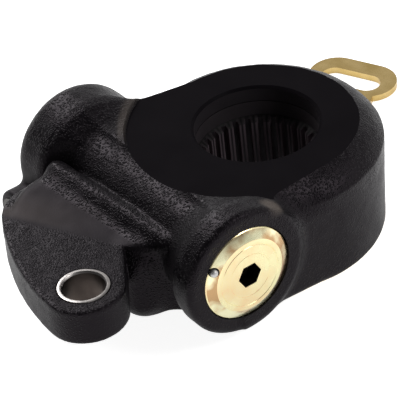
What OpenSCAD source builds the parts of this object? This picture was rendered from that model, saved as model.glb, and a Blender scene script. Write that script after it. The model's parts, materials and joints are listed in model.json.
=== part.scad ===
// Automatic brake slack adjuster with a control arm, in millimetres.
// Origin: on the camshaft axis, level with the worm axis. +Z points out of the
// machined face, +X runs along the worm towards the cover cap, -Y towards the lug.

/* [Eye and machined face] */
// Radius of the camshaft hole in the machined face
rim_r = 24; // [23.6:0.1:24.6]
// Height of the machined face above the worm axis
face_z = 18.5; // [18:0.25:20]
// Radius of the machined face at the round end of the eye
face_r = 39; // [37:0.5:42]
// Outer radius of the eye
eye_r = 48; // [47.5:0.25:50]
// Drop of the rounded shoulder between the face and the wall
shoulder_drop = 8; // [4:0.25:9]
// Draft of the eye's wall from the shoulder to its lower edge
eye_draft = 1.2; // [0:0.1:1.5]
// Depth of the eye below the worm axis
eye_depth = 28; // [27.5:0.25:31]
// Radius of the cutter sweep that bounds the machined face
cutter_r = 49.5; // [47:0.5:51]
// Radius of the rounded lower edge of the eye
eye_edge_r = 2; // [1:0.25:2.5]

/* [Camshaft spline] */
// Number of spline teeth
spline_teeth = 28; // [10:1:32]
// Radius over the tips of the spline teeth
spline_tip_r = 21.3; // [20:0.1:22]
// Radius at the roots of the spline teeth
spline_root_r = 23.1; // [22.5:0.1:23.5]
// Height of the upper end of the spline
spline_top = 5.5; // [2:0.5:9]

/* [Worm pair] */
// Distance from the camshaft axis to the worm axis
centre_distance = 45; // [44.5:0.25:46]
// Number of teeth on the worm wheel
wheel_teeth = 25; // [22:1:28]
// Pitch radius of the worm
worm_pitch_r = 13; // [12.5:0.1:13.3]
// Height of a tooth above the pitch line
tooth_add = 2.2; // [1.6:0.1:2.4]
// Depth of a tooth below the pitch line
tooth_ded = 2.7; // [2.5:0.1:3]
// Backlash between worm and wheel along the pitch line
tooth_play = 0.5; // [0.3:0.05:0.8]
// Turns of the worm thread
worm_turns = 3.5; // [1.5:2:3.5]

/* [Worm housing] */
// Outer radius of the housing between its bosses
housing_r = 19; // [18.6:0.1:20]
// Outer radius of the boss round the cover cap
cap_boss_r = 25.3; // [23:0.1:26]
// Outer radius of the boss round the clutch
clutch_boss_r = 26; // [24:0.25:27]
// Distance of the end face at the cap beyond the eye's wall
cap_reach = 2.5; // [2:0.25:5]
// Distance from the camshaft axis to the blind end at the clutch
clutch_end = 65.5; // [64:0.25:67]
// Radius of the rounded blind end
clutch_end_round = 8; // [3:0.5:10]

/* [Cover cap] */
// Outer radius of the cap
cap_r = 18.9; // [18:0.1:19.5]
// Length of the cap inside the housing
cap_t = 9; // [8:0.25:10]
// Radial width of the bevelled rim
cap_bevel = 4.6; // [2:0.1:6]
// Height of the bevelled rim above the housing
cap_rise = 2; // [1:0.1:3]
// Width across the flats of the hexagon socket
socket_af = 8.5; // [6:0.5:12]
// Depth of the hexagon socket
socket_depth = 7; // [4:0.25:8]
// Radius of the lock ball pressed into the rim
lock_ball_r = 1.65; // [1.2:0.05:1.9]
// Angle of the lock ball about the worm axis, from the eye side upwards
lock_ball_angle = 151; // [100:1:200]

/* [Arm] */
// Sideways offset of the clevis bush towards the cap
bush_x = 23.2; // [20:0.2:26]
// Distance of the clevis bush from the camshaft axis along the arm
bush_y = 97.6; // [94:0.2:102]
// Radius of the clevis pin bore
bush_bore_r = 8; // [6:0.25:8.5]
// Wall of the bush
bush_wall = 1.8; // [1.2:0.1:2.4]
// Height of the bush above the lug
bush_proud = 0.3; // [0:0.1:1]
// Outer radius of the lug
lug_r = 15.6; // [14.5:0.1:17]
// Height of the upper face of the lug above the worm axis
lug_top = 6.8; // [6:0.1:8]
// Thickness of the lug
lug_t = 14.4; // [12:0.1:15]
// Distance of the outer flank of the arm from the camshaft axis
arm_left = 42; // [40:0.5:44]
// Height of the rib along the root of the arm
ridge_z = 12.5; // [10:0.25:14]
// Depth of the arm root below the worm axis
root_depth = 25; // [22:0.5:26]

/* [Control unit] */
// Thickness of the control arm
control_t = 2.8; // [2.5:0.1:4.5]
// Length of the slot in the control arm
slot_l = 26.5; // [22:0.5:34]
// Width of the slot
slot_w = 11; // [9:0.25:13]
// Width of the bar round the slot
slot_bar = 6; // [4.5:0.25:8]
// Shift of the slot across the loop towards the eye
slot_shift = 1.9; // [0:0.1:2.5]
// Distance of the slot's centre from the camshaft axis
slot_reach = 102; // [98:0.2:108]
// Bearing of the slot's centre about the camshaft axis
slot_bearing = 121.3; // [116:0.1:126]
// Angle between the slot and the sideways direction
slot_angle = 24; // [18:0.5:32]
// Radial distance from the eye's wall to the control disc
disc_inset = 9; // [8.6:0.1:9.5]
// Thickness of the control disc
disc_t = 4.8; // [4:0.1:5]
// Radial distance from the disc's edge to the middle of the rack's tab
notch_inset = 1.5; // [1:0.1:2]
// Thickness of the cover plate
cover_t = 3; // [2.5:0.1:4]
// Number of screws that hold the cover plate
cover_screw_count = 6; // [4:1:8]
// Radius of a screw's shank
cover_screw_r = 1.75; // [1.5:0.05:1.9]

/* [Clutch and rack] */
// Number of teeth on the clutch gear
gear_teeth = 16; // [16:1:17]
// Module of the clutch gear and the rack
gear_module = 1.25; // [1.2:0.01:1.3]
// Face width of the clutch gear
gear_w = 10.5; // [9:0.25:11]
// Distance of the rack from the camshaft axis
rack_x = 54.4; // [53.5:0.1:55.5]
// Radius of the rack bar
rack_r = 6; // [5.5:0.1:6.3]
// Outer radius of the rack's boss
rack_boss_r = 10; // [9.5:0.1:11]
// Distance of the rack boss's end from the camshaft axis
rack_boss_end = 79.5; // [78:0.5:84]
// Width across the flats of the adjusting hexagon
adjuster_af = 12; // [9:0.5:12]
// Length of the adjusting hexagon outside the housing
adjuster_l = 9; // [6:0.5:13]
// Swing of the control arm each way, in degrees
control_swing = 12; // [6:1:12]

/* [Springs and seals] */
// Wire radius of the load spring
load_wire_r = 2.1; // [1.5:0.1:2.4]
// Turns of the load spring
load_turns = 3; // [2:1:4]
// Wire radius of the rack spring
rack_wire_r = 0.6; // [0.4:0.05:0.8]
// Turns of the rack spring
rack_turns = 5; // [3:1:7]
// Radius of a thrust ball
ball_r = 2; // [1.6:0.1:2.2]
// Number of thrust balls
ball_count = 12; // [8:1:14]
// Section radius of the sealing rings
seal_r = 1; // [0.8:0.05:1.1]

/* [Fits] */
// Radial play of shafts and sliding pieces
run_gap = 0.1; // [0.06:0.01:0.15]
// Clearance between pieces that pass each other
side_gap = 0.5; // [0.3:0.05:0.6]

/* [Hidden] */
$fn = 96;

cast_black = "#2b2a30";
zinc_yellow = "#d8b45c";
plain_steel = "#b4b2ac";
dark_steel = "#6d6a66";
seal_black = "#18181a";
eps = 0.01;

// Groove of a sealing ring
seal_groove_w = 2 * seal_r + 0.2;

// Worm pair
pressure_angle = 20;
wheel_pitch_r = centre_distance - worm_pitch_r;
wheel_module = 2 * wheel_pitch_r / wheel_teeth;
worm_pitch = PI * wheel_module;
worm_lead = atan(worm_pitch / (2 * PI * worm_pitch_r));
worm_tip_r = worm_pitch_r + tooth_add;
worm_core_r = worm_pitch_r - tooth_ded;
wheel_tip_r = wheel_pitch_r + tooth_add;
wheel_core_r = wheel_pitch_r - tooth_ded;
wheel_groove_r = wheel_core_r - 0.6;
thread_half = worm_turns * worm_pitch / 2;
thread_root_half = worm_pitch / 4 + tooth_ded * tan(pressure_angle);
flange_t = 1.5;
worm_end = thread_half + thread_root_half;
flange_x = worm_end + flange_t;

// Levels of the eye, from the top down
web_t = 6.5;
chamber_top = face_z - web_t;
wheel_top = chamber_top - 0.3;
chamber_r = wheel_tip_r + 0.8;
journal_r = chamber_r - run_gap;
gasket_t = 0.8;
disc_r = eye_r - disc_inset;
notch_r = disc_r - notch_inset;
cover_low = -eye_depth;
cover_top = cover_low + cover_t;
ledge_z = cover_top + gasket_t;
disc_top = cover_top + side_gap + disc_t;
recess_top = disc_top + 0.7;
recess_r = disc_r + side_gap;
journal_low = recess_top + side_gap;
journal_top = -sqrt(pow(worm_tip_r + side_gap, 2) - pow(centre_distance - journal_r, 2));
wheel_face = wheel_top - journal_top;
control_top = cover_low - side_gap;
control_low = control_top - control_t;
wheel_low = control_low + side_gap;
wheel_hub_r = spline_root_r + 4.3;
hub_bore_r = wheel_hub_r + run_gap;
hub_r = hub_bore_r + 4.8;
control_ring_r = hub_r + 5;
rivet_r = 1.4;
rivet_ring_r = (hub_bore_r + hub_r) / 2;
cover_gap = 0.15;
cover_r = eye_r - eye_draft - eye_edge_r - 0.8;
screw_ring_r = (recess_r + cover_r) / 2;
screw_head_r = cover_screw_r + 0.4;
screw_l = 9;

// Grease nipple, seated on a spot face in the drafted wall
nipple_r = 3;
nipple_l = 6;
nipple_af = 7;
nipple_hex_t = 2.5;
nipple_bearing = 115;
nipple_z = -8;
nipple_spot_r = nipple_af / sqrt(3) + 0.3;
wall_top = face_z - shoulder_drop;
nipple_wall = eye_r - eye_draft * (wall_top - nipple_z) / (wall_top + eye_depth);
nipple_seat = nipple_wall - 0.5;

// Worm axis, from the cap to the blind end
worm_bore_r = worm_tip_r + 0.6;
cap_end = eye_r + cap_reach;
cap_back = cap_end - cap_t;
ball_gap = 0.05;
seat_x = flange_x + 2 * ball_r + 2 * ball_gap;
seat_t = 3;
stub_r = 5.8;
stub_end = seat_x + seat_t + 2;
ball_ring_r = (stub_r + worm_bore_r) / 2;
spring_end_gap = 0.2;
clutch_cone_x = -worm_end - 2;
cone_l = 7;
cone_r = worm_core_r + 1.5;
cone_small_r = cone_r - 3;
shaft_r = adjuster_af / sqrt(3) + 0.1;
gear_pitch_r = gear_module * gear_teeth / 2;
gear_tip_r = gear_pitch_r + gear_module;
drum_r = gear_tip_r + 0.6;
drum_bore_r = shaft_r + 2.6;
gear_chamber_r = drum_r + side_gap;
gear_right = -rack_x + rack_r + side_gap;
gear_x = gear_right - gear_w;
drum_l = 6;
ring_left = gear_right + drum_l + 0.3;
ring_step = ring_left + drum_l;
ring_bore_r = cone_small_r - 1.5;
ring_r = worm_bore_r - 0.8;
gear_chamber_end = gear_x - side_gap;
shaft_groove_x = gear_chamber_end - 1 - seal_groove_w;
clutch_step = ring_step + side_gap;
wrap_wire = 1.3;
socket_turn = 30;

// Rack, below the worm axis on the blind side
rack_pitch_z = -gear_pitch_r;
rack_flat_z = rack_pitch_z + gear_module - 0.1;
rack_z = rack_flat_z - rack_r + 0.6;
rack_travel = notch_r * control_swing * PI / 180;
rack_low = -centre_distance - rack_travel - 2 * PI * gear_module;
rack_high = 6;
tab_half = 2.5;
tab_inner = notch_r - 1.3;
tab_low = disc_top - disc_t + 0.3;
notch_half = tab_half + 1.6;
notch_depth_r = tab_inner - 1.6;
rack_bore_high = rack_high + rack_travel + 2;
plug_t = 5;
plug_r = rack_r + 1.4;
plug_in = -rack_boss_end + plug_t;
pad_half = tab_half + rack_travel + 4;
pad_x = rack_x + rack_r - 2;
pad_wall = 2.5;

// Arm outline, in plan
bush_r = bush_bore_r + bush_wall;
lug_low = lug_top - lug_t;
left_bearing = 250;
right_bearing = 56;
left_tangent = [bush_x + lug_r * cos(left_bearing), -bush_y + lug_r * sin(left_bearing)];
right_tangent = [bush_x + lug_r * cos(right_bearing), -bush_y + lug_r * sin(right_bearing)];
shoulder_in = 12;
shoulder_back = 1.6;
flank_back = 15;
shoulder_corner = [-arm_left + shoulder_in, -bush_y + shoulder_back];
flank_corner = [-arm_left, -bush_y + flank_back];
inner_run = [-17, 11];
inner_corner = right_tangent + inner_run;
root_run = 8;
root_gap = 18;
root_front = [inner_corner[0] + root_run, -centre_distance - root_gap];
lug_bow = 2.2;
flank_bow = 2.6;

// Rib and root of the arm
rib_r = 2.2;
rib_gap = 1.5;
rib_fall = 1.5;
rib_turn = 5;
rib_short = 3;
ridge_y = -centre_distance - housing_r - rib_gap;
flank_rise = 1.5;
shoulder_lift = 2;
web_drop = 6;
foot_r = 5;
foot_gap = 22;
flank_edge = 3;
flank_spread = 1.5;

// Channel cast between the clutch boss and the rib of the arm
channel_r = 7;
channel_reach = housing_r + channel_r + 2;
channel_angle = 43;
channel_run = 24;

function inv(a) = tan(a) * 180 / PI - a;
function arc(c, r, a0, a1, n) =
    [for (i = [0 : n]) c + r * [cos(a0 + (a1 - a0) * i / n), sin(a0 + (a1 - a0) * i / n)]];
function bow(p, q, rise, n) =
    let (d = (q - p) / norm(q - p), side = [d[1], -d[0]])
    [for (i = [0 : n]) let (t = i / n) p + t * (q - p) + 4 * rise * t * (1 - t) * side];

// Half angle of an involute tooth at radius r
function tooth_half(r, pitch_r, teeth, play) =
    let (base_r = pitch_r * cos(pressure_angle), a = r > base_r ? acos(base_r / r) : 0)
    90 / teeth - play / 4 / pitch_r * 180 / PI + inv(pressure_angle) - inv(a);
function tooth_outline(pitch_r, teeth, low_r, tip_r, play) =
    let (n = 5, rows = [for (i = [0 : n])
        let (r = low_r + (tip_r - low_r) * i / n) [r, tooth_half(r, pitch_r, teeth, play)]])
    concat(
        [for (q = rows) q[0] * [cos(q[1]), -sin(q[1])]],
        [for (i = [n : -1 : 0]) rows[i][0] * [cos(rows[i][1]), sin(rows[i][1])]]
    );

// A closed profile of [radius, height] points swept along a right-hand helix about Z
module helix(profile, pitch, turns, steps) {
    n = len(profile);
    rings = round(turns * steps);
    points = [for (i = [0 : rings], p = profile)
        [p[0] * cos(360 * i / steps), p[0] * sin(360 * i / steps), p[1] + pitch * i / steps]];
    sides = [for (i = [0 : rings - 1], j = [0 : n - 1])
        [i * n + j, i * n + (j + 1) % n, (i + 1) * n + (j + 1) % n, (i + 1) * n + j]];
    first = [for (j = [n - 1 : -1 : 0]) j];
    last = [for (j = [0 : n - 1]) rings * n + j];
    polyhedron(points, concat(sides, [first], [last]), convexity = 10);
}
function wire(coil_r, wire_r, sides) =
    [for (j = [0 : sides - 1]) [coil_r + wire_r * cos(360 * j / sides), wire_r * sin(360 * j / sides)]];

module ring(outer, inner, h) {
    difference() {
        cylinder(r = outer, h = h);
        translate([0, 0, -eps]) cylinder(r = inner, h = h + 2 * eps);
    }
}
module o_ring(r, section) {
    rotate_extrude() translate([r, 0]) circle(r = section, $fn = 32);
}
// Places a form drawn along Z on the worm axis, starting at x
module on_worm(x) { translate([x, -centre_distance, 0]) rotate([0, 90, 0]) children(); }
// Places a form drawn along Z on the rack axis, starting at y and running towards the eye
module on_rack(y) { translate([-rack_x, y, rack_z]) rotate([-90, 0, 0]) children(); }
module hexagon(af) { circle(r = af / sqrt(3), $fn = 6); }

// Cast housing
module eye_form() {
    edge = [eye_r - eye_draft - eye_edge_r, -eye_depth + eye_edge_r];
    rotate_extrude($fn = 128) polygon(concat(
        [[0, -eye_depth]],
        arc(edge, eye_edge_r, -90, 0, 5),
        bow([eye_r, face_z - shoulder_drop], [face_r, face_z], 0.9, 5),
        [[0, face_z]]
    ));
}
module flank_slice(y, left_wall, left_face, right_wall, right_face) {
    translate([0, y, 0]) rotate([90, 0, 0]) linear_extrude(eps) polygon([
        [-left_wall, -root_depth + flank_edge], [-left_wall + flank_edge, -root_depth],
        [right_wall - flank_edge, -root_depth], [right_wall, -root_depth + flank_edge],
        [right_wall, face_z - shoulder_drop], [right_face, face_z],
        [-left_face, face_z], [-left_wall, face_z - shoulder_drop]
    ]);
}
module eye_flanks() {
    hull() {
        flank_slice(0, eye_r - eye_draft, face_r, eye_r - eye_draft / 2, face_r);
        flank_slice(-centre_distance, eye_r + flank_spread, eye_r, eye_r, face_r + 2 * flank_spread);
    }
}
module worm_housing() {
    round = clutch_end_round;
    flare = 14;
    edge = 2;
    on_worm(0) rotate_extrude() polygon(concat(
        [[0, -clutch_end]],
        arc([clutch_boss_r - round, -clutch_end + round], round, -90, 0, 8),
        [[clutch_boss_r, -rack_x + rack_boss_r]],
        [[housing_r, -rack_x + rack_boss_r + flare / 2], [housing_r, cap_back - flare]],
        [[cap_boss_r, cap_back]],
        arc([cap_boss_r - edge, cap_end - edge], edge, 0, 90, 4),
        [[0, cap_end]]
    ));
}
module lug_plan() {
    polygon(concat(
        bow(shoulder_corner, left_tangent, lug_bow, 8),
        arc([bush_x, -bush_y], lug_r, left_bearing, right_bearing + 360, 24),
        [inner_corner, root_front, [root_front[0], -centre_distance], [-arm_left, -centre_distance]],
        bow(flank_corner, shoulder_corner, flank_bow, 5)
    ));
}
module arm() {
    foot_z = -root_depth + foot_r;
    rib_z = ridge_z - rib_r;
    translate([0, 0, lug_low]) linear_extrude(lug_t) lug_plan();
    hull($fn = 20) {
        translate([-arm_left + rib_r, ridge_y, rib_z]) sphere(rib_r);
        translate([root_front[0] - rib_short, ridge_y + rib_turn, rib_z - rib_fall]) sphere(rib_r);
        translate([flank_corner[0], flank_corner[1], lug_low]) cylinder(r = eps, h = lug_t + flank_rise);
        translate([shoulder_corner[0], shoulder_corner[1], lug_low + shoulder_lift])
            cylinder(r = eps, h = lug_t - shoulder_lift);
        translate([inner_corner[0], inner_corner[1], lug_low - web_drop])
            cylinder(r = eps, h = lug_t + web_drop);
        translate([-arm_left + foot_r, -centre_distance - foot_gap, foot_z]) sphere(foot_r);
        translate([inner_corner[0] + foot_r / 2, inner_corner[1] + foot_r, foot_z]) sphere(foot_r);
        translate([root_front[0], root_front[1], foot_z]) sphere(foot_r);
        translate([-arm_left, -centre_distance, foot_z]) sphere(foot_r);
    }
}
module rack_boss() {
    end_wall = 3;
    bare = 12;
    web = rack_x - wheel_pitch_r;
    on_rack(-rack_boss_end) cylinder(r = rack_boss_r, h = rack_boss_end + rack_bore_high + end_wall);
    translate([-rack_x, -rack_boss_end + bare, rack_z - rack_boss_r])
        cube([web, rack_boss_end - bare + rack_bore_high, 2 * rack_boss_r]);
    translate([-pad_x - pad_wall, -pad_half - pad_wall, -eye_depth])
        cube([pad_x + pad_wall - wheel_pitch_r, 2 * (pad_half + pad_wall), eye_depth + rack_z]);
}
module clutch_channel() {
    along = clutch_end + 1;
    reach_y = channel_reach * sin(channel_angle);
    reach_z = channel_reach * cos(channel_angle);
    translate([-along, -centre_distance - reach_y, reach_z]) rotate([0, 90, 0])
        cylinder(r = channel_r, h = along - rack_x + rack_boss_r + channel_run);
}
module screw_places() {
    for (i = [0 : cover_screw_count - 1])
        rotate(360 * (i + 0.5) / cover_screw_count) translate([screw_ring_r, 0]) children();
}
module housing_bores() {
    chamfer = 1;
    low = -eye_depth - 1;
    // Camshaft hole, seal groove, wheel chamber and control recess
    translate([0, 0, low]) cylinder(r = rim_r, h = face_z - low + 1);
    translate([0, 0, face_z - chamfer]) cylinder(r1 = rim_r, r2 = rim_r + chamfer + eps, h = chamfer + eps);
    translate([0, 0, face_z - web_t / 2 - seal_groove_w / 2])
        cylinder(r = rim_r + seal_groove_w, h = seal_groove_w);
    translate([0, 0, low]) cylinder(r = chamber_r, h = chamber_top - low);
    translate([0, 0, low]) cylinder(r = recess_r, h = recess_top - low);
    translate([0, 0, low]) linear_extrude(ledge_z - low) cover_outline(cover_gap);
    // Worm bore, cap seat, clutch chamber and adjuster hole
    on_worm(clutch_step) cylinder(r = worm_bore_r, h = cap_end - clutch_step);
    on_worm(cap_back) cylinder(r = cap_r, h = cap_t + 1);
    on_worm(gear_chamber_end) cylinder(r = gear_chamber_r, h = clutch_step - gear_chamber_end + eps);
    on_worm(-clutch_end - 1) cylinder(r = shaft_r + run_gap, h = clutch_end);
    on_worm(shaft_groove_x) cylinder(r = shaft_r + run_gap + seal_groove_w, h = seal_groove_w);
    // Rack bore, plug seat and the window for the rack's tab
    on_rack(plug_in - eps) cylinder(r = rack_r + run_gap, h = rack_bore_high - plug_in);
    on_rack(-rack_boss_end - 1) cylinder(r = plug_r, h = plug_t + 1);
    window_half = tab_half + rack_travel + side_gap;
    translate([-rack_x - tab_half - side_gap, -window_half, low])
        cube([rack_x - tab_inner + tab_half + 2 * side_gap, 2 * window_half, rack_z - low]);
    // Clevis bush seat, cover screw holes and grease hole
    translate([bush_x, -bush_y, lug_low - 1]) cylinder(r = bush_r, h = lug_t + 2);
    translate([0, 0, low]) screw_places() cylinder(r = cover_screw_r, h = screw_l + 1);
    on_nipple(nipple_seat) cylinder(r = nipple_spot_r, h = nipple_l);
    on_nipple(nipple_seat - nipple_l) cylinder(r = nipple_r, h = nipple_l + eps);
    on_nipple(chamber_r - 2) cylinder(r = nipple_r / 2, h = eye_r - chamber_r);
}
module body() {
    color(cast_black) difference() {
        union() {
            eye_form();
            eye_flanks();
            worm_housing();
            arm();
            rack_boss();
        }
        translate([0, 0, face_z]) cylinder(r = cutter_r, h = clutch_boss_r);
        clutch_channel();
        housing_bores();
    }
}

// Clevis bush
module clevis_bush() {
    color(plain_steel) translate([bush_x, -bush_y, lug_low - bush_proud])
        ring(bush_r, bush_bore_r, lug_t + 2 * bush_proud);
}

// Cover cap and what it holds
module cover_cap() {
    groove = seal_groove_w;
    color(zinc_yellow) difference() {
        on_worm(cap_back) rotate_extrude() polygon([
            [0, 0], [cap_r - groove, 0], [cap_r - groove, groove], [cap_r, groove],
            [cap_r, cap_t], [cap_r - cap_bevel, cap_t + cap_rise], [0, cap_t + cap_rise]
        ]);
        on_worm(cap_end + cap_rise - socket_depth) rotate(socket_turn)
            linear_extrude(socket_depth + 1) hexagon(socket_af);
        lock_ball_place() translate([-lock_ball_r - run_gap, 0, 0]) rotate([0, 90, 0])
            cylinder(r = lock_ball_r + run_gap, h = cap_t);
    }
}
module lock_ball_place() {
    r = cap_r - cap_bevel / 2;
    sunk = 0.6;
    translate([cap_end + cap_rise / 2 - sunk, -centre_distance, 0]) rotate([lock_ball_angle, 0, 0])
        translate([0, r, 0]) children();
}
module cap_lock_ball() { color(plain_steel) lock_ball_place() sphere(lock_ball_r); }
module cap_seal() {
    color(seal_black) on_worm(cap_back + seal_r + 0.05) o_ring(cap_r - seal_r - 0.05, seal_r);
}
module load_spring() {
    coil_r = worm_bore_r - load_wire_r - 0.5;
    free = cap_back - seat_x - seat_t - 2 * spring_end_gap - 2 * load_wire_r;
    color(dark_steel) on_worm(seat_x + seat_t + spring_end_gap + load_wire_r)
        helix(wire(coil_r, load_wire_r, 8), free / load_turns, load_turns, 24);
}
module spring_seat() {
    color(plain_steel) on_worm(seat_x) ring(worm_bore_r - run_gap, stub_r + run_gap, seat_t);
}
module thrust_balls() {
    color(plain_steel) on_worm(flange_x + ball_r + ball_gap)
        for (i = [0 : ball_count - 1])
            rotate(360 * i / ball_count) translate([ball_ring_r, 0, 0]) sphere(ball_r, $fn = 24);
}

// Worm shaft with thrust flange, thread, clutch cone and adjusting hexagon
module worm_shaft() {
    root = worm_core_r - 0.4;
    root_half = worm_pitch / 4 - tooth_play / 4 + (tooth_ded + 0.4) * tan(pressure_angle);
    tip_half = worm_pitch / 4 - tooth_play / 4 - tooth_add * tan(pressure_angle);
    color(dark_steel) {
        on_worm(0) rotate_extrude() polygon([
            [0, -clutch_end], [shaft_r, -clutch_end], [shaft_r, ring_left],
            [ring_bore_r - run_gap, ring_left],
            [ring_bore_r - run_gap, clutch_cone_x - cone_l], [cone_small_r, clutch_cone_x - cone_l],
            [cone_r, clutch_cone_x], [worm_core_r, clutch_cone_x], [worm_core_r, worm_end],
            [worm_bore_r - 1, worm_end], [worm_bore_r - 1, flange_x], [stub_r, flange_x],
            [stub_r, stub_end], [0, stub_end]
        ]);
        on_worm(-thread_half)
            helix([[root, -root_half], [worm_tip_r, -tip_half], [worm_tip_r, tip_half], [root, root_half]],
                worm_pitch, worm_turns, 36);
        on_worm(-clutch_end - adjuster_l) linear_extrude(adjuster_l) hexagon(adjuster_af);
    }
}

// One-way clutch between the rack's gear and the worm
module clutch_ring() {
    color(dark_steel) on_worm(0) rotate_extrude() polygon([
        [drum_bore_r, ring_left], [drum_r, ring_left], [drum_r, ring_step + 2 * side_gap],
        [ring_r, ring_step + 2 * side_gap], [ring_r, clutch_cone_x - 0.5],
        [cone_r + run_gap, clutch_cone_x - 0.5], [cone_small_r + run_gap, clutch_cone_x - cone_l - 0.1],
        [ring_bore_r, clutch_cone_x - cone_l - 0.1], [ring_bore_r, ring_step], [drum_bore_r, ring_step]
    ]);
}
module clutch_spring() {
    free = 2 * drum_l - 0.8 - wrap_wire;
    coil_r = drum_bore_r - wrap_wire / 2 - 0.15;
    turns = 6;
    color(plain_steel) on_worm(gear_right + 0.5 + wrap_wire / 2)
        helix(wire(coil_r, wrap_wire / 2, 6), free / turns, turns, 18);
}
module clutch_gear() {
    color(plain_steel) difference() {
        union() {
            on_worm(gear_x) linear_extrude(gear_w) union() {
                circle(r = gear_pitch_r - 1.25 * gear_module);
                for (i = [0 : gear_teeth - 1]) rotate(360 * i / gear_teeth) polygon(tooth_outline(
                    gear_pitch_r, gear_teeth, gear_pitch_r - 1.5 * gear_module, gear_tip_r, 0.2));
            }
            on_worm(gear_right - 0.5) cylinder(r = drum_r, h = drum_l + 0.5);
        }
        on_worm(gear_x - 1) cylinder(r = shaft_r + run_gap, h = gear_w + 2);
        on_worm(gear_right) cylinder(r = drum_bore_r, h = drum_l + 1);
    }
}
module shaft_seal() {
    color(seal_black) on_worm(shaft_groove_x + seal_groove_w / 2)
        o_ring(shaft_r + run_gap + seal_r, seal_r);
}

// Rack with its tab, return spring and plug
module rack() {
    gap_pitch = PI * gear_module;
    gap_half = gap_pitch / 4 + 0.1;
    low = rack_pitch_z - 1.25 * gear_module;
    count = floor((rack_travel + 3 * gap_pitch / 2) / gap_pitch);
    color(dark_steel) union() {
        difference() {
            on_rack(rack_low) cylinder(r = rack_r, h = rack_high - rack_low);
            translate([-rack_x - rack_r, rack_low - 1, rack_flat_z])
                cube([2 * rack_r, rack_high - rack_low + 2, rack_r]);
            for (i = [-count : count])
                translate([-rack_x - rack_r, -centre_distance + i * gap_pitch, 0]) rotate([90, 0, 90])
                    linear_extrude(2 * rack_r) polygon([
                        [-gap_half + (rack_pitch_z - low) * tan(pressure_angle), low],
                        [gap_half - (rack_pitch_z - low) * tan(pressure_angle), low],
                        [gap_half + 2 * gear_module * tan(pressure_angle), rack_pitch_z + 2 * gear_module],
                        [-gap_half - 2 * gear_module * tan(pressure_angle), rack_pitch_z + 2 * gear_module]
                    ]);
        }
        translate([-rack_x - tab_half, -tab_half, tab_low])
            cube([rack_x + tab_half - recess_r - 1, 2 * tab_half, rack_z - tab_low]);
        translate([-recess_r - 2, -tab_half, tab_low])
            cube([recess_r + 2 - tab_inner, 2 * tab_half, disc_t - 0.6]);
    }
}
module rack_spring() {
    coil_r = rack_r - rack_wire_r - 0.6;
    free = rack_low - plug_in - 2 * spring_end_gap - 2 * rack_wire_r;
    color(plain_steel) on_rack(plug_in + spring_end_gap + rack_wire_r)
        helix(wire(coil_r, rack_wire_r, 6), free / rack_turns, rack_turns, 16);
}
module rack_plug() {
    color(dark_steel) difference() {
        on_rack(-rack_boss_end - 0.5) cylinder(r = plug_r, h = plug_t + 0.5);
        on_rack(-rack_boss_end - 1) linear_extrude(3) hexagon(plug_r);
    }
}

// Worm wheel with its splined bore
module worm_wheel() {
    height = wheel_top - wheel_low;
    spline_step = 360 / spline_teeth;
    lead_in = 2;
    color(dark_steel) difference() {
        union() {
            translate([0, 0, journal_top]) cylinder(r = wheel_core_r, h = wheel_face);
            intersection() {
                for (i = [0 : wheel_teeth - 1]) rotate(-90 + 360 * i / wheel_teeth)
                    rotate([-worm_lead, 0, 0]) linear_extrude(2 * wheel_face, center = true)
                        polygon(tooth_outline(
                            wheel_pitch_r, wheel_teeth, wheel_core_r - 1, wheel_tip_r, tooth_play));
                translate([0, 0, journal_top]) cylinder(r = chamber_r, h = wheel_face);
            }
            translate([0, 0, journal_low]) cylinder(r = journal_r, h = journal_top - journal_low);
            translate([0, 0, wheel_low]) cylinder(r = wheel_hub_r, h = journal_top - wheel_low);
        }
        translate([0, 0, spline_top]) cylinder(r = rim_r, h = height);
        translate([0, 0, spline_top - lead_in]) cylinder(r1 = spline_tip_r, r2 = rim_r, h = lead_in + eps);
        translate([0, 0, wheel_low - 1]) linear_extrude(height) union() {
            circle(r = spline_tip_r);
            for (i = [0 : spline_teeth - 1]) rotate(i * spline_step) polygon([
                spline_tip_r * 0.95 * [cos(spline_step * 0.3), -sin(spline_step * 0.3)],
                spline_root_r * [cos(spline_step * 0.2), -sin(spline_step * 0.2)],
                spline_root_r * [cos(spline_step * 0.2), sin(spline_step * 0.2)],
                spline_tip_r * 0.95 * [cos(spline_step * 0.3), sin(spline_step * 0.3)]
            ]);
        }
        translate([0, 0, wheel_top - seal_groove_w])
            ring(wheel_groove_r, wheel_groove_r - seal_groove_w, seal_groove_w + 1);
    }
}
module wheel_seal() {
    color(seal_black) translate([0, 0, wheel_top - seal_groove_w / 2])
        o_ring(wheel_groove_r - seal_groove_w / 2, seal_r);
}
module camshaft_seal() {
    color(seal_black) translate([0, 0, face_z - web_t / 2]) o_ring(rim_r + seal_r + 0.1, seal_r);
}

// Control unit under the eye
module control_disc() {
    color(dark_steel) difference() {
        union() {
            translate([0, 0, disc_top - disc_t]) cylinder(r = disc_r, h = disc_t);
            translate([0, 0, control_top]) cylinder(r = hub_r, h = disc_top - control_top);
        }
        translate([0, 0, control_top - 1]) cylinder(r = hub_bore_r, h = disc_top - control_top + 2);
        translate([-disc_r - 1, -notch_half, disc_top - disc_t - 1])
            cube([disc_r + 1 - notch_depth_r, 2 * notch_half, disc_t + 2]);
        rivet_places() translate([0, 0, control_top - 1])
            cylinder(r = rivet_r, h = disc_top - control_top + 2);
    }
}
module rivet_places() {
    for (a = [45 : 90 : 315]) rotate(a) translate([rivet_ring_r, 0]) children();
}
module slot_outline(l, w) {
    square([l - w, w], center = true);
    for (s = [-1, 1]) translate([s * (l - w) / 2, 0]) circle(r = w / 2);
}
module on_slot() {
    rotate(slot_bearing) translate([slot_reach, 0]) rotate(slot_angle - slot_bearing) children();
}
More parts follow.
